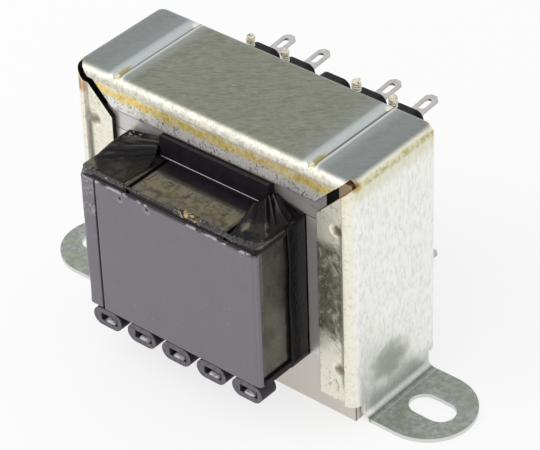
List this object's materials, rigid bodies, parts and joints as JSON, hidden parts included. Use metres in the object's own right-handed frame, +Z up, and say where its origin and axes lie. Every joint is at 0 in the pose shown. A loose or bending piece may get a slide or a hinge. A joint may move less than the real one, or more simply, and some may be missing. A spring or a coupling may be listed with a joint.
{
  "type": "chassis mount transformer",
  "caption": "Mains transformer for chassis mounting, with a laminated core in a folded steel clamp, slotted feet and solder tags.",
  "frame": {"origin": "midway between the two foot slots, on the plane that the feet stand on", "axes": "+X along the feet, +Y to the back where the solder tags point, +Z up from the mounting plane"},
  "size_m": [0.1028, 0.0571, 0.0567],
  "materials": {
    "zinc_sheet": "spangled zinc plate, stained by varnish",
    "core_steel": "sheared silicon steel under brown varnish",
    "bobbin_plastic": "black glass-filled moulding",
    "winding_copper": "enamelled copper wire",
    "insulation_paper": "calendered insulation paper",
    "wrap_sheet": "smooth grey-violet sheet under a thin coat of varnish",
    "corner_film": "crumpled dark film, varnished",
    "tinned_tag": "tinned",
    "lead_wire": "enamelled wire, soldered"
  },
  "bodies": {
    "root": {"clamp_frame": "zinc_sheet", "core_e_legs_up": "core_steel", "core_i_top": "core_steel", "core_e_legs_down": "core_steel", "core_i_bottom": "core_steel", "bobbin_top": "bobbin_plastic", "bobbin_bottom": "bobbin_plastic", "bobbin_tube": "bobbin_plastic", "primary_winding": "winding_copper", "interwinding_paper": "insulation_paper", "secondary_winding": "winding_copper", "outer_wrap": "wrap_sheet", "corner_film_left": "corner_film", "corner_film_right": "corner_film", "upper_tag_1": "tinned_tag", "upper_tag_2": "tinned_tag", "upper_tag_4": "tinned_tag", "upper_tag_5": "tinned_tag", "upper_lead_1": "lead_wire", "upper_lead_2": "lead_wire", "upper_lead_4": "lead_wire", "upper_lead_5": "lead_wire", "lower_tag_1": "tinned_tag", "lower_tag_2": "tinned_tag", "lower_tag_4": "tinned_tag", "lower_tag_5": "tinned_tag", "lower_lead_1": "lead_wire", "lower_lead_2": "lead_wire", "lower_lead_4": "lead_wire", "lower_lead_5": "lead_wire"}
  },
  "joints": []
}
